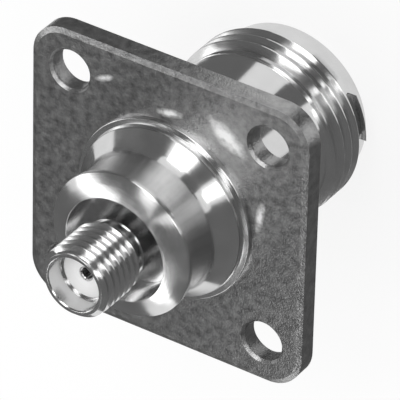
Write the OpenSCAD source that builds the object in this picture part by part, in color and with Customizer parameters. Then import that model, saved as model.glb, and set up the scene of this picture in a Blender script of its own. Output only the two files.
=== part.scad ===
// Flanged panel adapter from an N jack to an SMA jack, in millimetres.
//
// The body is one piece of nickel-plated brass: a square four-hole flange, the N barrel below
// it and a stepped round boss above it. It is open from end to end. The N bead drops into it
// from the boss end with the N contact in its bore, and the SMA jack is pressed in behind them
// and holds them there. The SMA bead and contact fill the jack's own bore, and the tail of the
// SMA contact is pressed into the stem of the N contact, so the two ends are joined.
//
// +Z is the mating axis and points to the SMA end. z = 0 is the SMA-side face of the flange.

/* [Flange] */
// Side of the square
flange_side = 25.4; // [22:0.1:32]
// Thickness
flange_t = 1.8; // [1.4:0.1:4]
// Radius of the four corners
flange_corner_r = 3; // [1:0.1:5]
// Width of the sloping edge round the SMA-side face
flange_edge_w = 0.45; // [0.1:0.05:0.8]
// Depth of that edge
flange_edge_h = 0.2; // [0.05:0.05:0.6]
// Distance between hole centres along a side
hole_spacing = 18.26; // [17.5:0.02:19.5]
// Diameter of the four screw holes
hole_d = 3.4; // [2.6:0.1:4]
// Width of the broken edge at both ends of each hole
hole_break = 0.25; // [0.1:0.05:0.4]

/* [N barrel] */
// Length from the flange to the end face
barrel_len = 16.3; // [14:0.1:24]
// Diameter of the plain neck next to the flange
barrel_neck_d = 14.2; // [13.4:0.1:15]
// Major diameter of the 5/8-24 thread
barrel_thread_d = 15.7; // [15.2:0.05:16.2]
// Length of the thread at full diameter
barrel_thread_len = 3.35; // [2:0.05:6]
// Length of the cone from the neck up to the thread
barrel_cone_len = 0.55; // [0.2:0.05:1]
// Length of the cone from the plain lead up to the thread
barrel_start_len = 0.35; // [0.2:0.05:0.8]
// Diameter of the plain lead in front of the thread
lead_d = 14; // [13.4:0.1:15]
// Length of the plain lead
lead_len = 1.8; // [1:0.1:3]
// Broken edge at the outside of the end face
lead_break = 0.2; // [0.1:0.05:0.4]
// Diameter of the mouth that takes the plug
mouth_d = 8.1; // [7.7:0.05:8.6]
// Depth of the mouth, down to the reference plane
mouth_depth = 9.06; // [8:0.02:9.4]
// Broken edge of the mouth
mouth_break = 0.3; // [0.1:0.05:0.5]
// Diameter of the coaxial line behind the mouth
line_d = 7; // [6:0.05:7.4]

/* [Boss] */
// Diameter of the step where the boss leaves the flange
root_d = 15.9; // [15.4:0.1:17]
// Height of that step
root_h = 0.45; // [0.1:0.05:0.8]
// Diameter of the short drum on the step
drum_d = 14.85; // [14:0.05:15.3]
// Length of the drum's plain wall
drum_len = 0.55; // [0.2:0.05:1.2]
// Length of the cone from the drum to the neck
drum_cone = 1.3; // [0.5:0.05:2]
// Diameter of the neck
boss_neck_d = 12.1; // [11:0.05:12.4]
// Length of the neck
boss_neck_len = 3.4; // [2:0.05:6]
// Diameter of the collar at the end of the neck
collar_d = 12.6; // [12.5:0.05:13.6]
// Length of the collar's plain wall
collar_len = 0.5; // [0.2:0.05:1.2]
// Diameter where the collar's bevel meets its crown
crown_d = 10.9; // [10.2:0.05:12]
// Height of the bevel
bevel_h = 0.45; // [0.2:0.05:0.8]
// Height of the crown
crown_h = 0.45; // [0.1:0.05:0.8]

/* [SMA jack] */
// Diameter of the shank pressed into the body
shank_d = 9; // [8.4:0.05:9.6]
// Distance of the shank's rear end behind the SMA-side face of the flange
shank_depth = 2; // [1:0.1:2.4]
// Distance of the shank's front end in front of that face
shank_front = 3.9; // [2:0.1:5]
// Length of the jack in front of that face
jack_len = 12.65; // [11.5:0.05:15]
// Diameter of the neck between the shank and the thread
jack_neck_d = 5.2; // [5:0.05:5.5]
// Major diameter of the 1/4-36 thread
jack_thread_d = 6.2; // [6:0.02:6.4]
// Length of the thread, from its run-out to the end face
jack_thread_len = 4.35; // [3:0.05:5.2]
// Diameter of the end face inside its chamfer
jack_face_d = 5.44; // [5.2:0.02:5.7]
// Length of that chamfer
jack_chamfer_len = 0.55; // [0.2:0.05:0.8]
// Diameter of the socket that takes the plug
socket_d = 4.6; // [4.4:0.02:4.9]
// Depth of the socket, down to the reference plane
socket_depth = 1.75; // [1.4:0.05:2.2]
// Broken edge of the socket
socket_break = 0.1; // [0.05:0.01:0.14]

/* [Beads] */
// Diameter of the N bead
barrel_bead_d = 8.2; // [7.6:0.05:8.3]
// Thickness of the N bead
barrel_bead_t = 4; // [2:0.1:4.4]
// Diameter of the SMA bead
jack_bead_d = 4.1; // [3.8:0.02:4.3]
// Diameter of the head that keeps the SMA bead from moving forward
bead_head_d = 5; // [4.5:0.05:6]
// Thickness of that head
bead_head_t = 1.2; // [0.6:0.1:2]

/* [Contacts] */
// Outside diameter of the N contact
barrel_contact_d = 3.04; // [2.8:0.02:3.3]
// Distance of the N contact's tip inside the end face
barrel_contact_recess = 4.06; // [3.6:0.02:4.6]
// Diameter of the hole in the N contact
barrel_contact_hole_d = 1.65; // [1.5:0.01:1.9]
// Depth of that hole
barrel_contact_hole_len = 6; // [4.8:0.1:6.4]
// Diameter of the stem through the N bead
stem_d = 2.5; // [2:0.02:2.7]
// Length of the four slots in the N contact
barrel_slot_len = 4.6; // [3:0.1:4.7]
// Width of those slots
barrel_slot_w = 0.3; // [0.2:0.05:0.5]
// Outside diameter of the SMA contact
jack_contact_d = 1.27; // [1.2:0.01:1.4]
// Distance of the SMA contact's tip behind the reference plane
jack_contact_recess = 0.08; // [0:0.01:0.25]
// Diameter of the hole in the SMA contact
jack_contact_hole_d = 0.92; // [0.86:0.01:0.98]
// Depth of that hole
jack_contact_hole_len = 3; // [2.2:0.1:4]
// Length of the four slots in the SMA contact
jack_slot_len = 2; // [1:0.1:2.1]
// Width of those slots
jack_slot_w = 0.15; // [0.1:0.01:0.2]
// Diameter of the tail pressed into the stem of the N contact
tail_d = 0.9; // [0.7:0.02:1.1]
// Length of that tail
tail_len = 2.6; // [1:0.1:3.4]

/* [Fits] */
// Radial gap left between pieces that are pressed together
press_gap = 0.01; // [0.005:0.005:0.03]
// Gap left beyond the end of the tail
tail_end_gap = 0.3; // [0.1:0.1:0.5]

/* [Hidden] */
$fn = 96;

// Heights of the planes that the pieces share
barrel_end_z = -flange_t - barrel_len;
mouth_floor_z = barrel_end_z + mouth_depth;
shank_rear_z = -shank_depth;
barrel_bead_z = shank_rear_z - barrel_bead_t;
socket_floor_z = jack_len - socket_depth;
boss_neck_z = root_h + drum_len + drum_cone;
collar_z = boss_neck_z + boss_neck_len;
bevel_z = collar_z + collar_len;
crown_z = bevel_z + bevel_h;
boss_end_z = crown_z + crown_h;

// How far a cutter runs past the surface it opens
past = 1;

// Round bar or bore from z0 up to z1
module bar(d, z0, z1) {
    translate([0, 0, z0]) cylinder(d = d, h = z1 - z0);
}

// Broken edge of a bore whose mouth lies at z and opens upwards (dir = 1) or downwards (dir = -1)
module bore_break(d, w, z, dir) {
    translate([0, 0, z + dir * past]) mirror([0, 0, max(dir, 0)])
        cylinder(d1 = d + 2 * (w + past), d2 = d, h = w + past);
}

// Square of the given side with round corners
module round_square(side, r) {
    c = side / 2 - r;
    square([side, 2 * c], center = true);
    square([2 * c, side], center = true);
    for (x = [-c, c], y = [-c, c]) translate([x, y]) circle(r);
}

// What the sloping edge takes off the flange: a wedge along each side, turned about each corner
module flange_edge() {
    c = flange_side / 2 - flange_corner_r;
    for (a = [0:90:270]) rotate(a) {
        translate([c, c, 0]) rotate_extrude(angle = 90) edge_wedge();
        translate([c, c, 0]) rotate([90, 0, 0]) linear_extrude(2 * c) edge_wedge();
    }
}

// Section of the wedge, measured from the centre of a corner
module edge_wedge() {
    top = flange_corner_r - flange_edge_w;
    out = flange_corner_r + past;
    polygon([[top, 0], [top, past], [out, past], [out, -flange_edge_h], [flange_corner_r, -flange_edge_h]]);
}

module flange() {
    difference() {
        translate([0, 0, -flange_t]) linear_extrude(flange_t) round_square(flange_side, flange_corner_r);
        flange_edge();
        for (x = [-1, 1], y = [-1, 1]) translate([x, y] * hole_spacing / 2) {
            bar(hole_d, -flange_t - past, past);
            bore_break(hole_d, hole_break, 0, 1);
            bore_break(hole_d, hole_break, -flange_t, -1);
        }
    }
}

// Outline of everything turned on the body, from the N end face up to the crown
module body_outline() {
    lead_z = barrel_end_z + lead_len;
    thread_z = lead_z + barrel_start_len;
    cone_z = thread_z + barrel_thread_len;
    polygon([
        [0, barrel_end_z],
        [lead_d / 2 - lead_break, barrel_end_z],
        [lead_d / 2, barrel_end_z + lead_break],
        [lead_d / 2, lead_z],
        [barrel_thread_d / 2, thread_z],
        [barrel_thread_d / 2, cone_z],
        [barrel_neck_d / 2, cone_z + barrel_cone_len],
        [barrel_neck_d / 2, -flange_t / 2],
        [root_d / 2, -flange_t / 2],
        [root_d / 2, root_h],
        [drum_d / 2, root_h],
        [drum_d / 2, root_h + drum_len],
        [boss_neck_d / 2, boss_neck_z],
        [boss_neck_d / 2, collar_z],
        [collar_d / 2, collar_z],
        [collar_d / 2, bevel_z],
        [crown_d / 2, crown_z],
        [shank_d / 2 + press_gap, boss_end_z],
        [0, boss_end_z]
    ]);
}

// One piece: flange, N barrel and boss, bored through in four steps
module body() color("silver") difference() {
    union() {
        flange();
        rotate_extrude() body_outline();
    }
    bar(mouth_d, barrel_end_z - past, mouth_floor_z);
    bore_break(mouth_d, mouth_break, barrel_end_z, -1);
    bar(line_d, mouth_floor_z - past, barrel_bead_z + past);
    bar(barrel_bead_d + 2 * press_gap, barrel_bead_z, shank_rear_z + past);
    bar(shank_d + 2 * press_gap, shank_rear_z, boss_end_z + past);
}

// Insulator between the N contact and the body
module n_bead() color("white") difference() {
    bar(barrel_bead_d, barrel_bead_z, shank_rear_z);
    bar(stem_d + 2 * press_gap, barrel_bead_z - past, shank_rear_z + past);
}

// Two crossed cuts that make the four fingers of a socket contact
module finger_slots(d, w, z0, z1) {
    for (a = [0, 90]) rotate(a) translate([-d, -w / 2, z0]) cube([2 * d, w, z1 - z0]);
}

// Socket contact with its shoulder against the bead and its stem through it
module n_contact() color("gold") {
    tip_z = barrel_end_z + barrel_contact_recess;
    tip_break = 0.3;
    lip = 0.15;
    difference() {
        union() {
            translate([0, 0, tip_z]) cylinder(d1 = barrel_contact_d - 2 * tip_break, d2 = barrel_contact_d, h = tip_break);
            bar(barrel_contact_d, tip_z + tip_break, barrel_bead_z);
            bar(stem_d, barrel_bead_z - past, shank_rear_z);
        }
        bar(barrel_contact_hole_d, tip_z - past, tip_z + barrel_contact_hole_len);
        bore_break(barrel_contact_hole_d, lip, tip_z, -1);
        finger_slots(barrel_contact_d, barrel_slot_w, tip_z - past, tip_z + barrel_slot_len);
        bar(tail_d + 2 * press_gap, shank_rear_z - tail_len - tail_end_gap, shank_rear_z + past);
    }
}

// Outline of the jack, from the rear of its pressed shank to its end face
module jack_outline() {
    thread_z = jack_len - jack_thread_len;
    run_out = (jack_thread_d - jack_neck_d) / 2;
    shank_break = 0.15;
    polygon([
        [0, shank_rear_z],
        [shank_d / 2 - shank_break, shank_rear_z],
        [shank_d / 2, shank_rear_z + shank_break],
        [shank_d / 2, shank_front],
        [jack_neck_d / 2, shank_front],
        [jack_neck_d / 2, thread_z],
        [jack_thread_d / 2, thread_z + run_out],
        [jack_thread_d / 2, jack_len - jack_chamfer_len],
        [jack_face_d / 2, jack_len],
        [0, jack_len]
    ]);
}

// Threaded jack, pressed into the body behind the N bead
module sma_jack() color("lightgray") difference() {
    rotate_extrude() jack_outline();
    bar(jack_bead_d + 2 * press_gap, shank_rear_z - past, jack_len + past);
    bar(bead_head_d + 2 * press_gap, shank_rear_z - past, shank_rear_z + bead_head_t);
    bar(socket_d, socket_floor_z, jack_len + past);
    bore_break(socket_d, socket_break, jack_len, 1);
}

// Insulator of the SMA line, kept by the head at its rear end
module sma_bead() color("white") difference() {
    union() {
        bar(bead_head_d, shank_rear_z, shank_rear_z + bead_head_t);
        bar(jack_bead_d, shank_rear_z, socket_floor_z);
    }
    bar(jack_contact_d + 2 * press_gap, shank_rear_z - past, socket_floor_z + past);
}

// Socket contact of the SMA line, with the tail that joins it to the N contact
module sma_contact() color("gold") {
    tip_z = socket_floor_z - jack_contact_recess;
    lip = 0.08;
    difference() {
        union() {
            bar(jack_contact_d, shank_rear_z, tip_z);
            bar(tail_d, shank_rear_z - tail_len, shank_rear_z + past);
        }
        bar(jack_contact_hole_d, tip_z - jack_contact_hole_len, tip_z + past);
        bore_break(jack_contact_hole_d, lip, tip_z, 1);
        finger_slots(jack_contact_d, jack_slot_w, tip_z - jack_slot_len, tip_z + past);
    }
}

body();
n_bead();
n_contact();
sma_jack();
sma_bead();
sma_contact();
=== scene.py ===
import math

import bmesh
import bpy
from mathutils import Matrix, Quaternion, Vector


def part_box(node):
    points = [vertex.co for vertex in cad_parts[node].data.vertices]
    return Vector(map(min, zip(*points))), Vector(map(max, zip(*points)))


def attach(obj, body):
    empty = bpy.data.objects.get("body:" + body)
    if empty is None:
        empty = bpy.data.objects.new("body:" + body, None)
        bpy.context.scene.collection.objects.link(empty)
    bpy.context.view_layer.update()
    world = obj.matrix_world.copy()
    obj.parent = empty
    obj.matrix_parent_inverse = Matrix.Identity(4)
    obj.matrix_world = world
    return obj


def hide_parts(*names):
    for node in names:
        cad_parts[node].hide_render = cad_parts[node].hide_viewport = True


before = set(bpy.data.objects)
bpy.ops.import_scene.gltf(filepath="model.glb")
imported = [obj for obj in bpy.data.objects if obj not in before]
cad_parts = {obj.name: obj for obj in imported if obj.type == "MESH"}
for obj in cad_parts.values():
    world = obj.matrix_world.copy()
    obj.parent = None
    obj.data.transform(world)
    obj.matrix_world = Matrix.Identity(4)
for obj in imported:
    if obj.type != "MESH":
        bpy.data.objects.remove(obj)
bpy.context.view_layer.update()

# ---------------------------------------------------------------------------------------------
# Helpers
# Sizes are in millimetres, and mm turns them into the metres of the frame.
# ---------------------------------------------------------------------------------------------
mm = 0.001
thread_flank = math.tan(math.radians(30))

# Both ends of a thread ridge run on this far along the axis and sink this deep into the metal
run_out = 0.3
sink = 0.1


def finished(name, shape, sharp=12):
    """Makes an object from a bmesh, with clean normals and with edges over that angle left sharp."""
    bmesh.ops.remove_doubles(shape, verts=shape.verts, dist=1e-7)
    bmesh.ops.recalc_face_normals(shape, faces=shape.faces)
    mesh = bpy.data.meshes.new(name)
    shape.to_mesh(mesh)
    shape.free()
    mesh.shade_smooth()
    mesh.set_sharp_from_angle(angle=math.radians(sharp))
    piece = bpy.data.objects.new(name, mesh)
    bpy.context.scene.collection.objects.link(piece)
    return piece


def turned(name, outline, steps=240, sharp=12):
    """Spins a closed outline round the axis, with its edges rounded first."""
    shape = bmesh.new()
    corners = [shape.verts.new((r * mm, 0, z * mm)) for r, z, edge in outline]
    for a, b in zip(corners, corners[1:] + corners[:1]):
        shape.edges.new((a, b))
    for corner, (r, z, edge) in zip(corners, outline):
        if edge:
            bmesh.ops.bevel(
                shape, geom=[corner], offset=edge * mm, offset_type="OFFSET", segments=4,
                profile=0.5, affect="VERTICES", material=-1,
            )
    bmesh.ops.spin(
        shape, geom=shape.verts[:] + shape.edges[:], cent=(0, 0, 0), axis=(0, 0, 1),
        angle=math.tau, steps=steps, use_merge=True,
    )
    return finished(name, shape, sharp)


def cut(piece, cutters):
    """Takes the cutters away from the piece and keeps the result as its mesh."""
    for cutter in cutters:
        knife = piece.modifiers.new("cut", "BOOLEAN")
        knife.object = cutter
        knife.solver = "EXACT"
    bpy.context.view_layer.update()
    scene_now = bpy.context.evaluated_depsgraph_get()
    result = bpy.data.meshes.new_from_object(piece.evaluated_get(scene_now))
    piece.modifiers.clear()
    piece.data = result
    for cutter in cutters:
        bpy.data.objects.remove(cutter)


def ridge(name, pitch, crest_r, root_r, ends, steps=120):
    """A 60 degree thread ridge wound round its core, cut back to the (height, radius) points of ends."""
    sunk_r = root_r - sink
    crest_half = pitch / 16
    base_half = crest_half + (crest_r - sunk_r) * thread_flank
    z0, z1 = ends[0][0], ends[-1][0]
    shape = bmesh.new()
    section = [(sunk_r, -base_half), (crest_r, -crest_half), (crest_r, crest_half), (sunk_r, base_half)]
    corners = [shape.verts.new((r * mm, 0, (z0 + z) * mm)) for r, z in section]
    shape.faces.new(corners)
    bmesh.ops.bevel(
        shape, geom=corners[1:3], offset=pitch / 24 * mm, offset_type="OFFSET", segments=3,
        profile=0.5, affect="VERTICES", material=-1,
    )
    turns = (z1 - z0) / pitch
    count = round(turns * steps)
    bmesh.ops.spin(
        shape, geom=shape.verts[:] + shape.edges[:] + shape.faces[:], cent=(0, 0, 0), axis=(0, 0, 1),
        dvec=(0, 0, (z1 - z0) / count * mm), angle=math.tau * turns, steps=count,
    )
    for v in shape.verts:
        v.co.z = min(max(v.co.z, z0 * mm), z1 * mm)
        most = crest_r
        for (za, ra), (zb, rb) in zip(ends, ends[1:]):
            if za * mm <= v.co.z <= zb * mm:
                most = ra + (rb - ra) * (v.co.z / mm - za) / (zb - za)
        r = math.hypot(v.co.x, v.co.y)
        if r > most * mm:
            v.co.x *= most * mm / r
            v.co.y *= most * mm / r
    return finished(name, shape, sharp=25)


def saw(z0, z1, length, width):
    """Two crossed blades for the slots between four fingers."""
    blades = []
    for quarter in (0, 1):
        shape = bmesh.new()
        bmesh.ops.create_cube(shape, size=1)
        bmesh.ops.scale(shape, verts=shape.verts, vec=(length * mm, width * mm, (z1 - z0) * mm))
        bmesh.ops.rotate(
            shape, verts=shape.verts, cent=(0, 0, 0),
            matrix=Quaternion((0, 0, 1), quarter * math.pi / 2).to_matrix(),
        )
        bmesh.ops.translate(shape, verts=shape.verts, vec=(0, 0, (z0 + z1) / 2 * mm))
        blades.append(finished("saw_blade", shape))
    return blades


def linear(code):
    """Linear colour of an sRGB hex code."""
    parts = [int(code[i:i + 2], 16) / 255 for i in (1, 3, 5)]
    return (*[c / 12.92 if c <= 0.04045 else ((c + 0.055) / 1.055) ** 2.4 for c in parts], 1)


def add(tree, kind, links=None, **settings):
    """Adds one node with its settings; links gives each input a value or another node's output."""
    new = tree.nodes.new(kind)
    for key, value in settings.items():
        setattr(new, key, value)
    for socket, source in (links or {}).items():
        if isinstance(source, bpy.types.NodeSocket):
            tree.links.new(source, new.inputs[socket])
        else:
            new.inputs[socket].default_value = source
    return new


def blank_material(name):
    """A new material without nodes, and its node tree."""
    material = bpy.data.materials.new(name)
    material.use_nodes = True
    material.node_tree.nodes.clear()
    return material, material.node_tree


def from_axis(tree, place):
    """Two vectors for patterns on turned work: straight out from the axis, and (radius, height)."""
    split = add(tree, "ShaderNodeSeparateXYZ", {0: place}).outputs
    across = add(tree, "ShaderNodeCombineXYZ", {0: split[0], 1: split[1]}).outputs[0]
    radius = add(tree, "ShaderNodeVectorMath", {0: across}, operation="LENGTH").outputs["Value"]
    section = add(tree, "ShaderNodeCombineXYZ", {0: radius, 1: split[2]}).outputs[0]
    return across, section


def seen_ray(tree):
    """1 where the eye sees something straight, in a reflection or through glass, and 0 elsewhere."""
    ray = add(tree, "ShaderNodeLightPath").outputs
    seen = add(
        tree, "ShaderNodeMath", {0: ray["Is Camera Ray"], 1: ray["Is Glossy Ray"]}, operation="MAXIMUM",
    )
    return add(
        tree, "ShaderNodeMath", {0: seen.outputs[0], 1: ray["Is Transmission Ray"]}, operation="MAXIMUM",
    ).outputs[0]


# ---------------------------------------------------------------------------------------------
# Turned body
# The N barrel, the step through the flange and the round boss are one piece of brass with the
# flange. It is forged, then turned and bored on a lathe, and nickel plated all over.
# ---------------------------------------------------------------------------------------------
body_low, body_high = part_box("body")
bead_low, bead_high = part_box("n_bead")
jack_low, jack_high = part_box("sma_jack")

barrel_end_z = body_low.z / mm
boss_end_z = body_high.z / mm
flange_t = 1.8
barrel_crest_r = 7.85
barrel_root_r = 7.2
barrel_neck_r = 7.1
root_step = 0.08
neck_step = 0.06
lead_r = 7
lead_break = 0.2
lead_z = barrel_end_z + 1.8
barrel_thread_z = lead_z + 0.35
barrel_cone_z = barrel_thread_z + 3.35
barrel_neck_z = barrel_cone_z + 0.55
mouth_r = 4.05
mouth_break = 0.3
mouth_floor_z = barrel_end_z + 9.06
line_r = 3.5
n_bead_r = bead_high.x / mm
n_bead_z = bead_low.z / mm
shank_r = jack_high.x / mm
shank_rear_z = jack_low.z / mm
root_r = 7.95
root_z = 0.45
drum_r = 7.425
drum_z = root_z + 0.55
boss_neck_r = 6.05
boss_neck_z = drum_z + 1.3
collar_z = boss_end_z - 1.4
collar_r = 6.3
bevel_z = collar_z + 0.5
crown_r = 5.45
crown_z = bevel_z + 0.45

# Outline of the body as (radius, height, edge radius), all in millimetres
body_outline = [
    (lead_r - lead_break, barrel_end_z, 0.05),
    (lead_r, barrel_end_z + lead_break, 0.05),
    (lead_r, lead_z, 0.04),
    (barrel_root_r, lead_z + root_step, 0),
    (barrel_root_r, barrel_neck_z - neck_step, 0),
    (barrel_neck_r, barrel_neck_z, 0.05),
    (barrel_neck_r, -flange_t / 2, 0),
    (root_r, -flange_t / 2, 0),
    (root_r, root_z, 0.1),
    (drum_r, root_z, 0.06),
    (drum_r, drum_z, 0.12),
    (boss_neck_r, boss_neck_z, 0.5),
    (boss_neck_r, collar_z, 0.06),
    (collar_r, collar_z, 0.08),
    (collar_r, bevel_z, 0.06),
    (crown_r, crown_z, 0.05),
    (shank_r, boss_end_z, 0.05),
    (shank_r, shank_rear_z, 0),
    (n_bead_r, shank_rear_z, 0),
    (n_bead_r, n_bead_z, 0),
    (line_r, n_bead_z, 0.05),
    (line_r, mouth_floor_z, 0.05),
    (mouth_r, mouth_floor_z, 0),
    (mouth_r, barrel_end_z + mouth_break, 0.05),
    (mouth_r + mouth_break, barrel_end_z, 0.05),
]

body = turned("turned_body", body_outline)

# Nickel plate over a turned surface: bright and neutral, with fine rings left by the tool. The
# real rings are about 0.05 mm apart; they are drawn at 0.16 mm so that they show.
ring_pitch = 0.16
ring_depth = 0.004
strand_l = 1.4
strand_w = 0.14
stain_size = 2.5
turned_nickel, tree = blank_material("nickel_plate_on_turned_brass")
place = add(tree, "ShaderNodeTexCoord").outputs["Object"]
across, section = from_axis(tree, place)
rings = add(
    tree, "ShaderNodeTexNoise",
    {"Vector": section, "Scale": 1 / (ring_pitch * mm), "Detail": 2, "Roughness": 0.6},
)
strands_place = add(
    tree, "ShaderNodeMapping",
    {"Vector": place, "Scale": (1 / (strand_l * mm), 1 / (strand_l * mm), 1 / (strand_w * mm))},
)
strands = add(tree, "ShaderNodeTexNoise", {"Vector": strands_place.outputs[0], "Scale": 1, "Detail": 2})
marks = add(
    tree, "ShaderNodeMath", {0: rings.outputs["Fac"], 1: strands.outputs["Fac"]}, operation="ADD",
)
stain = add(
    tree, "ShaderNodeTexNoise", {"Vector": place, "Scale": 1 / (stain_size * mm), "Detail": 3},
)
gloss = add(
    tree, "ShaderNodeMapRange",
    {"Value": stain.outputs["Fac"], "From Min": 0.35, "From Max": 0.65, "To Min": 0.14, "To Max": 0.22},
)
tint = add(
    tree, "ShaderNodeMix",
    {"Factor": stain.outputs["Fac"], "A": linear("#c6c6c6"), "B": linear("#e2e2e2")},
    data_type="RGBA",
)
bump = add(
    tree, "ShaderNodeBump",
    {"Height": marks.outputs[0], "Strength": 1, "Distance": ring_depth * mm},
)
turn = add(tree, "ShaderNodeVectorRotate", {"Vector": across, "Angle": math.radians(90)},
           rotation_type="Z_AXIS")
along = add(tree, "ShaderNodeVectorMath", {0: turn.outputs[0]}, operation="NORMALIZE")
metal = add(
    tree, "ShaderNodeBsdfPrincipled",
    {
        "Base Color": tint.outputs["Result"],
        "Metallic": 1,
        "Roughness": gloss.outputs["Result"],
        "Normal": bump.outputs[0],
        "Anisotropic": 0.8,
        "Anisotropic Rotation": 0.25,
        "Tangent": along.outputs[0],
    },
)
add(tree, "ShaderNodeOutputMaterial", {"Surface": metal.outputs[0]})

body.data.materials.append(turned_nickel)
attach(body, "root")
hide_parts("body")

# ---------------------------------------------------------------------------------------------
# Flange
# The square plate of the same brass forging. Its face and sides keep the forged skin, and only
# the four screw holes are drilled and deburred. The turned body fills the hole in its middle.
# ---------------------------------------------------------------------------------------------
flange_side = (body_high.x - body_low.x) / mm
flange_corner_r = 3
flange_edge_w = 0.45
flange_edge_h = 0.2
hole_spacing = 18.26
hole_r = 1.7
hole_break = 0.25
centre_r = 6
overcut = 1

shape = bmesh.new()
bmesh.ops.create_grid(shape, x_segments=1, y_segments=1, size=flange_side / 2 * mm)
bmesh.ops.bevel(
    shape, geom=shape.verts[:], offset=flange_corner_r * mm, offset_type="OFFSET", segments=16,
    profile=0.5, affect="VERTICES", material=-1,
)
bmesh.ops.translate(shape, verts=shape.verts, vec=(0, 0, -flange_t * mm))
pulled = bmesh.ops.extrude_face_region(shape, geom=shape.faces[:])["geom"]
bmesh.ops.translate(
    shape, verts=[v for v in pulled if isinstance(v, bmesh.types.BMVert)],
    vec=(0, 0, (flange_t - flange_edge_h) * mm),
)
bmesh.ops.recalc_face_normals(shape, faces=shape.faces)
face = [f for f in shape.faces if f.normal.z > 0.9]
bmesh.ops.inset_region(shape, faces=face, thickness=flange_edge_w * mm, depth=flange_edge_h * mm)
flange = finished("flange_plate", shape, sharp=20)

hole_outline = [
    (0, overcut, 0),
    (hole_r + hole_break + overcut, overcut, 0),
    (hole_r + hole_break, 0, 0.05),
    (hole_r, -hole_break, 0.1),
    (hole_r, -flange_t + hole_break, 0.1),
    (hole_r + hole_break, -flange_t, 0.05),
    (hole_r + hole_break + overcut, -flange_t - overcut, 0),
    (0, -flange_t - overcut, 0),
]
centre_outline = [
    (0, overcut, 0),
    (centre_r, overcut, 0),
    (centre_r, -flange_t - overcut, 0),
    (0, -flange_t - overcut, 0),
]

drills = [turned("centre_cutter", centre_outline, steps=96)]
for x in (-1, 1):
    for y in (-1, 1):
        drill = turned("hole_cutter", hole_outline, steps=64)
        middle = Vector((x * hole_spacing / 2 * mm, y * hole_spacing / 2 * mm, 0))
        drill.data.transform(Matrix.Translation(middle))
        drills.append(drill)
cut(flange, drills)
flange.data.set_sharp_from_angle(angle=math.radians(20))

# Nickel plate over a forged skin: duller than the turned metal, clouded, and pitted where scale
# came away.
pit_size = 0.5
cloud_size = 0.7
grain_size = 0.16
pit_depth = 0.035
forged_nickel, tree = blank_material("nickel_plate_on_forged_brass")
place = add(tree, "ShaderNodeTexCoord").outputs["Object"]
pits = add(
    tree, "ShaderNodeTexVoronoi", {"Vector": place, "Scale": 1 / (pit_size * mm), "Randomness": 1},
)
clouds = add(
    tree, "ShaderNodeTexNoise",
    {"Vector": place, "Scale": 1 / (cloud_size * mm), "Detail": 4, "Roughness": 0.6},
)
grain = add(
    tree, "ShaderNodeTexNoise", {"Vector": place, "Scale": 1 / (grain_size * mm), "Detail": 2},
)
hollow = add(
    tree, "ShaderNodeMapRange",
    {"Value": pits.outputs["Distance"], "From Min": 0.0, "From Max": 0.3, "To Min": 0, "To Max": 1},
)
skin = add(
    tree, "ShaderNodeMath", {0: hollow.outputs["Result"], 1: 0.25, 2: grain.outputs["Fac"]},
    operation="MULTIPLY_ADD",
)
bump = add(
    tree, "ShaderNodeBump", {"Height": skin.outputs[0], "Strength": 1, "Distance": pit_depth * mm},
)
tint = add(
    tree, "ShaderNodeMix",
    {"Factor": clouds.outputs["Fac"], "A": linear("#6f6f6f"), "B": linear("#c8c8c8")},
    data_type="RGBA",
)
gloss = add(
    tree, "ShaderNodeMapRange",
    {"Value": clouds.outputs["Fac"], "From Min": 0.3, "From Max": 0.7, "To Min": 0.28, "To Max": 0.42},
)
# Painted highlights: pale patches at set places on the plate that stand in for bright smears of
# reflected light. Each has a place, a size and a turn, and the clouds break its edge. They are
# paler and less of a mirror than the metal round them.
painted_highlight_patches = [
    ((5.4, 8.6, 0), (2.6, 1.1), -35),
    ((0.2, 8.8, 0), (1.5, 0.5), 10),
    ((-5.9, 9.7, 0), (1.1, 0.4), 25),
    ((8.6, 2.6, 0), (0.5, 2.0), -8),
]
highlight_mask = None
for middle, (long, short), turned_by in painted_highlight_patches:
    highlight_spot_place = add(
        tree, "ShaderNodeMapping",
        {
            "Vector": place,
            "Location": [c * mm for c in middle],
            "Rotation": (0, 0, math.radians(turned_by)),
            "Scale": (long * mm, short * mm, mm),
        },
        vector_type="TEXTURE",
    )
    highlight_spot = add(tree, "ShaderNodeTexGradient", {"Vector": highlight_spot_place.outputs[0]}, gradient_type="SPHERICAL")
    highlight_mask = highlight_spot.outputs["Fac"] if highlight_mask is None else add(
        tree, "ShaderNodeMath", {0: highlight_mask, 1: highlight_spot.outputs["Fac"]}, operation="MAXIMUM",
    ).outputs[0]
broken_highlight_mask = add(tree, "ShaderNodeMath", {0: highlight_mask, 1: clouds.outputs["Fac"]}, operation="MULTIPLY")
highlight_amount = add(
    tree, "ShaderNodeMapRange",
    {"Value": broken_highlight_mask.outputs[0], "From Min": 0.05, "From Max": 0.4, "To Min": 0, "To Max": 1},
).outputs["Result"]
# Painted highlight: inside the patches the plate is lifted to near white and loses most of its metal shine
painted_highlight = add(tree, "ShaderNodeMix", {"Factor": highlight_amount, "A": tint.outputs["Result"], "B": linear("#f4f4f4")},
           data_type="RGBA")
metallic_under_highlight = add(tree, "ShaderNodeMapRange", {"Value": highlight_amount, "To Min": 1, "To Max": 0.25})
metal = add(
    tree, "ShaderNodeBsdfPrincipled",
    {
        "Base Color": painted_highlight.outputs["Result"],
        "Metallic": metallic_under_highlight.outputs["Result"],
        "Roughness": gloss.outputs["Result"],
        "Normal": bump.outputs[0],
    },
)
add(tree, "ShaderNodeOutputMaterial", {"Surface": metal.outputs[0]})

flange.data.materials.append(forged_nickel)
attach(flange, "root")
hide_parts("body")

# ---------------------------------------------------------------------------------------------
# N thread
# The 5/8-24 outside thread of the barrel, cut in the same brass. Its crests are plated with the
# rest, and both ends run out on the chamfer that was turned before the thread was cut.
# ---------------------------------------------------------------------------------------------
barrel_pitch = 25.4 / 24

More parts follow.
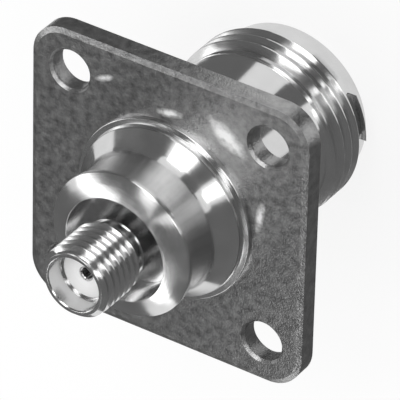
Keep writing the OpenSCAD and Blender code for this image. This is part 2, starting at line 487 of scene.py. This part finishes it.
barrel_thread = ridge(
    "n_thread", barrel_pitch, barrel_crest_r, barrel_root_r,
    [
        (lead_z - run_out, lead_r - sink),
        (lead_z, lead_r - 0.02),
        (barrel_thread_z, barrel_crest_r),
        (barrel_cone_z, barrel_crest_r),
        (barrel_neck_z, barrel_neck_r - 0.02),
        (barrel_neck_z + run_out, barrel_neck_r - sink),
    ],
)
barrel_thread.data.materials.append(turned_nickel)
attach(barrel_thread, "root")
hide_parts("body")

# ---------------------------------------------------------------------------------------------
# SMA jack
# A small turned brass piece of its own, with a 1/4-36 thread and an open socket. Its wide shank
# is pressed into the boss behind the N bead and holds everything in place.
# ---------------------------------------------------------------------------------------------
sma_bead_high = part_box("sma_bead")[1]
jack_end_z = jack_high.z / mm
jack_crest_r = 3.1
jack_root_r = 2.67
jack_neck_r = 2.6
jack_root_step = 0.07
jack_face_r = 2.72
socket_r = 2.3
socket_break = 0.1
socket_floor_z = sma_bead_high.z / mm
jack_thread_z = jack_end_z - 4.95
jack_full_z = jack_thread_z + 0.5
jack_chamfer_z = jack_end_z - 0.55
jack_bore_r = 2.06
bead_head_r = sma_bead_high.x / mm
bead_head_z = shank_rear_z + 1.2
shank_front_z = 3.9
shank_break = 0.15
relief_r = 2.5
relief_z = jack_thread_z - 0.8

jack_outline = [
    (socket_r + socket_break, jack_end_z, 0.03),
    (jack_root_r, jack_end_z, 0.04),
    (jack_root_r, jack_thread_z + jack_root_step, 0),
    (relief_r, jack_thread_z, 0),
    (relief_r, relief_z, 0),
    (jack_neck_r, relief_z, 0.03),
    (jack_neck_r, shank_front_z, 0.1),
    (shank_r, shank_front_z, 0),
    (shank_r, shank_rear_z + shank_break, 0),
    (shank_r - shank_break, shank_rear_z, 0),
    (bead_head_r, shank_rear_z, 0),
    (bead_head_r, bead_head_z, 0),
    (jack_bore_r, bead_head_z, 0),
    (jack_bore_r, socket_floor_z, 0.03),
    (socket_r, socket_floor_z, 0.02),
    (socket_r, jack_end_z - socket_break, 0.03),
]
jack = turned("sma_jack_body", jack_outline, steps=180)
jack.data.materials.append(turned_nickel)
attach(jack, "root")
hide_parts("sma_jack")

jack_pitch = 25.4 / 36
jack_thread = ridge(
    "sma_thread", jack_pitch, jack_crest_r, jack_root_r,
    [
        (jack_thread_z - run_out, jack_neck_r - sink),
        (jack_thread_z, jack_neck_r),
        (jack_full_z, jack_crest_r),
        (jack_chamfer_z, jack_crest_r),
        (jack_end_z - 0.01, jack_face_r),
    ],
    steps=96,
)
jack_thread.data.materials.append(turned_nickel)
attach(jack_thread, "root")
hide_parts("sma_jack")

# ---------------------------------------------------------------------------------------------
# Beads
# Two insulators turned from white PTFE rod. Each is bored for its contact and held by the metal
# round it.
# ---------------------------------------------------------------------------------------------
contact_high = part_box("sma_contact")[1]
stem_r = 1.25
jack_contact_r = 0.635

n_bead = turned(
    "n_bead_turned",
    [
        (stem_r, shank_rear_z, 0),
        (n_bead_r, shank_rear_z, 0),
        (n_bead_r, n_bead_z, 0),
        (stem_r, n_bead_z, 0),
    ],
    steps=120,
)
sma_bead = turned(
    "sma_bead_turned",
    [
        (jack_contact_r, shank_rear_z, 0),
        (bead_head_r, shank_rear_z, 0),
        (bead_head_r, bead_head_z, 0),
        (jack_bore_r, bead_head_z, 0),
        (jack_bore_r, socket_floor_z, 0.05),
        (jack_contact_r, socket_floor_z, 0.04),
    ],
    steps=120,
)

# PTFE is waxy white and lets a little light in. The lathe leaves faint rings on it.
bead_ring_pitch = 0.15
bead_ring_depth = 0.004
turned_ptfe, tree = blank_material("turned_ptfe")
place = add(tree, "ShaderNodeTexCoord").outputs["Object"]
across, section = from_axis(tree, place)
rings = add(
    tree, "ShaderNodeTexNoise", {"Vector": section, "Scale": 1 / (bead_ring_pitch * mm), "Detail": 2},
)
tint = add(
    tree, "ShaderNodeMix",
    {"Factor": rings.outputs["Fac"], "A": linear("#f6f6f6"), "B": linear("#fefefe")},
    data_type="RGBA",
)
bump = add(
    tree, "ShaderNodeBump",
    {"Height": rings.outputs["Fac"], "Strength": 1, "Distance": bead_ring_depth * mm},
)
wax = add(
    tree, "ShaderNodeBsdfPrincipled",
    {
        "Base Color": tint.outputs["Result"],
        "Roughness": 0.45,
        "IOR": 1.36,
        "Subsurface Weight": 0.25,
        "Subsurface Radius": (0.4 * mm, 0.4 * mm, 0.4 * mm),
        "Subsurface Scale": 1,
        "Normal": bump.outputs[0],
    },
)
add(tree, "ShaderNodeOutputMaterial", {"Surface": wax.outputs[0]})

for bead, node in ((n_bead, "n_bead"), (sma_bead, "sma_bead")):
    bead.data.materials.append(turned_ptfe)
    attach(bead, "root")
    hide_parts(node)

# ---------------------------------------------------------------------------------------------
# Contacts
# Two socket contacts turned from beryllium copper and plated. Two crossed saw cuts make the four
# spring fingers of each, and the tail of the small one is pressed into the stem of the other.
# ---------------------------------------------------------------------------------------------
n_tip_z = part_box("n_contact")[0].z / mm
n_contact_r = 1.52
n_hole_r = 0.825
n_hole_z = n_tip_z + 6
n_hole_break = 0.15
n_tip_break = 0.3
n_slot_z = n_tip_z + 4.6
n_slot_w = 0.3
tail_r = 0.45
tail_z = shank_rear_z - 2.6
sma_tip_z = contact_high.z / mm
sma_hole_r = 0.46
sma_hole_z = sma_tip_z - 3
sma_hole_break = 0.08
sma_slot_z = sma_tip_z - 2
sma_slot_w = 0.15

n_contact = turned(
    "n_socket_contact",
    [
        (n_hole_r + n_hole_break, n_tip_z, 0.03),
        (n_contact_r - n_tip_break, n_tip_z, 0.05),
        (n_contact_r, n_tip_z + n_tip_break, 0.1),
        (n_contact_r, n_bead_z, 0),
        (stem_r, n_bead_z, 0),
        (stem_r, shank_rear_z, 0),
        (0, shank_rear_z, 0),
        (0, n_hole_z, 0),
        (n_hole_r, n_hole_z, 0),
        (n_hole_r, n_tip_z + n_hole_break, 0.03),
    ],
    steps=96,
)
cut(n_contact, saw(n_tip_z - overcut, n_slot_z, 4 * n_contact_r, n_slot_w))
sma_contact = turned(
    "sma_socket_contact",
    [
        (sma_hole_r + sma_hole_break, sma_tip_z, 0.02),
        (jack_contact_r, sma_tip_z, 0.03),
        (jack_contact_r, shank_rear_z, 0),
        (tail_r, shank_rear_z, 0),
        (tail_r, tail_z, 0),
        (0, tail_z, 0),
        (0, sma_hole_z, 0),
        (sma_hole_r, sma_hole_z, 0),
        (sma_hole_r, sma_tip_z - sma_hole_break, 0.02),
    ],
    steps=72,
)
cut(sma_contact, saw(sma_slot_z, sma_tip_z + overcut, 4 * jack_contact_r, sma_slot_w))

# The plate on a contact is thin and satin bright, a little rubbed where the pins slide.
rub_w = 0.1
rub_l = 0.6
rub_depth = 0.003
contact_plate, tree = blank_material("satin_plate_on_beryllium_copper")
place = add(tree, "ShaderNodeTexCoord").outputs["Object"]
rub_place = add(
    tree, "ShaderNodeMapping",
    {"Vector": place, "Scale": (1 / (rub_w * mm), 1 / (rub_w * mm), 1 / (rub_l * mm))},
)
rub = add(tree, "ShaderNodeTexNoise", {"Vector": rub_place.outputs[0], "Scale": 1, "Detail": 3})
tint = add(
    tree, "ShaderNodeMix",
    {"Factor": rub.outputs["Fac"], "A": linear("#b6b6b6"), "B": linear("#d8d8d8")},
    data_type="RGBA",
)
gloss = add(
    tree, "ShaderNodeMapRange",
    {"Value": rub.outputs["Fac"], "From Min": 0.3, "From Max": 0.7, "To Min": 0.22, "To Max": 0.38},
)
bump = add(
    tree, "ShaderNodeBump", {"Height": rub.outputs["Fac"], "Strength": 1, "Distance": rub_depth * mm},
)
metal = add(
    tree, "ShaderNodeBsdfPrincipled",
    {
        "Base Color": tint.outputs["Result"],
        "Metallic": 1,
        "Roughness": gloss.outputs["Result"],
        "Normal": bump.outputs[0],
    },
)
add(tree, "ShaderNodeOutputMaterial", {"Surface": metal.outputs[0]})

for contact, node in ((n_contact, "n_contact"), (sma_contact, "sma_contact")):
    contact.data.set_sharp_from_angle(angle=math.radians(20))
    contact.data.materials.append(contact_plate)
    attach(contact, "root")
    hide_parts(node)

# ---------------------------------------------------------------------------------------------
# Table and studio
# A plain white table under the adapter, four soft lamps, and dark cards between them that only
# the metal sees, as a studio sets round polished work so that it doesn't turn flat white.
# ---------------------------------------------------------------------------------------------
table_z = body_low.z
table_reach = 2
shape = bmesh.new()
bmesh.ops.create_grid(shape, x_segments=1, y_segments=1, size=table_reach)
bmesh.ops.translate(shape, verts=shape.verts, vec=(0, 0, table_z))
table = finished("table", shape)

# Matt white card, lifted towards white where the eye or the metal sees it. It keeps its shadow.
card_lift = 0.8
white_card, tree = blank_material("matt_white_card")
lift = add(tree, "ShaderNodeMath", {0: seen_ray(tree), 1: card_lift}, operation="MULTIPLY")
matt = add(tree, "ShaderNodeBsdfDiffuse", {"Color": linear("#fbfbfb")})
white = add(tree, "ShaderNodeEmission", {"Color": (1, 1, 1, 1), "Strength": 1})
both = add(tree, "ShaderNodeMixShader", {0: lift.outputs[0], 1: matt.outputs[0], 2: white.outputs[0]})
add(tree, "ShaderNodeOutputMaterial", {"Surface": both.outputs[0]})
table.data.materials.append(white_card)

card_near_r = 9
card_far_r = 150
card_top_r = 1
card_foot_z = table_z / mm + 0.2
card_top_z = table_z / mm + card_far_r
card_dark = 0.16
dark_card, tree = blank_material("dark_card")
glow = add(tree, "ShaderNodeEmission", {"Color": (1, 1, 1, 1), "Strength": card_dark})
add(tree, "ShaderNodeOutputMaterial", {"Surface": glow.outputs[0]})

# Gaps between the cards, where the metal sees white, from one azimuth to another in degrees
window_azimuths = [(-102, -82), (14, 42), (68, 104), (168, 192)]
for (first, start), (end, last) in zip(window_azimuths, window_azimuths[1:] + window_azimuths[:1]):
    span = (end - start) % 360
    shape = bmesh.new()
    side = [
        (card_near_r, card_foot_z),
        (card_far_r, card_foot_z),
        (card_far_r, card_top_z),
        (card_top_r, card_top_z),
    ]
    corners = [shape.verts.new((r * mm, 0, z * mm)) for r, z in side]
    for a, b in zip(corners, corners[1:]):
        shape.edges.new((a, b))
    bmesh.ops.rotate(
        shape, verts=shape.verts, cent=(0, 0, 0),
        matrix=Quaternion((0, 0, 1), math.radians(start)).to_matrix(),
    )
    bmesh.ops.spin(
        shape, geom=shape.verts[:] + shape.edges[:], cent=(0, 0, 0), axis=(0, 0, 1),
        angle=math.radians(span), steps=max(8, round(span / 4)),
    )
    card = finished("dark_card", shape)
    card.data.materials.append(dark_card)
    card.visible_camera = False
    card.visible_diffuse = False
    card.visible_transmission = False
    card.visible_shadow = False

# Sky of the studio: white to the eye and in the metal, dimmer where it lights the table
sky_light = 0.7
world = bpy.data.worlds.new("studio")
bpy.context.scene.world = world
world.use_nodes = True
tree = world.node_tree
tree.nodes.clear()
level = add(
    tree, "ShaderNodeMapRange", {"Value": seen_ray(tree), "To Min": sky_light, "To Max": 1},
)
sky = add(tree, "ShaderNodeBackground", {"Color": (1, 1, 1, 1), "Strength": level.outputs["Result"]})
add(tree, "ShaderNodeOutputWorld", {"Surface": sky.outputs[0]})

lamp_distance = 0.4
for azimuth, elevation, width, height, brightness in (
    (86, 45, 0.16, 0.3, 3),
    (28, 45, 0.08, 0.3, 2.5),
    (180, 45, 0.08, 0.3, 2),
    (-92, 45, 0.08, 0.3, 2),
):
    lamp = bpy.data.lights.new("soft_lamp", "AREA")
    lamp.shape = "RECTANGLE"
    lamp.size = width
    lamp.size_y = height
    lamp.energy = brightness * math.pi * width * height
    lamp_object = bpy.data.objects.new("soft_lamp", lamp)
    a, e = math.radians(azimuth), math.radians(elevation)
    towards = Vector((math.cos(e) * math.cos(a), math.cos(e) * math.sin(a), math.sin(e)))
    lamp_object.location = towards * lamp_distance
    lamp_object.rotation_mode = "QUATERNION"
    lamp_object.rotation_quaternion = towards.to_track_quat("Z", "Y")
    bpy.context.scene.collection.objects.link(lamp_object)

# ---------------------------------------------------------------------------------------------
# Camera
# A long lens, above the flange and a little rolled, as the adapter is usually shown: its SMA end
# comes forward and down to the left.
# ---------------------------------------------------------------------------------------------
aim = Vector((2.02, 0.49, -1.70)) * mm
eye_azimuth = math.radians(52.265)
eye_elevation = math.radians(43.559)
eye_distance = 0.43388
eye_roll = math.radians(-130.225)

lens = bpy.data.cameras.new("camera")
lens.lens = 504.8
lens.sensor_width = 36
lens.clip_start = 0.01
lens.clip_end = 10
camera = bpy.data.objects.new("camera", lens)
back = Vector((
    math.cos(eye_elevation) * math.cos(eye_azimuth),
    math.cos(eye_elevation) * math.sin(eye_azimuth),
    math.sin(eye_elevation),
))
camera.location = aim + back * eye_distance
camera.rotation_mode = "QUATERNION"
camera.rotation_quaternion = back.to_track_quat("Z", "Y") @ Quaternion((0, 0, 1), eye_roll)
bpy.context.scene.collection.objects.link(camera)
bpy.context.scene.camera = camera
bpy.context.scene.view_settings.view_transform = "Standard"
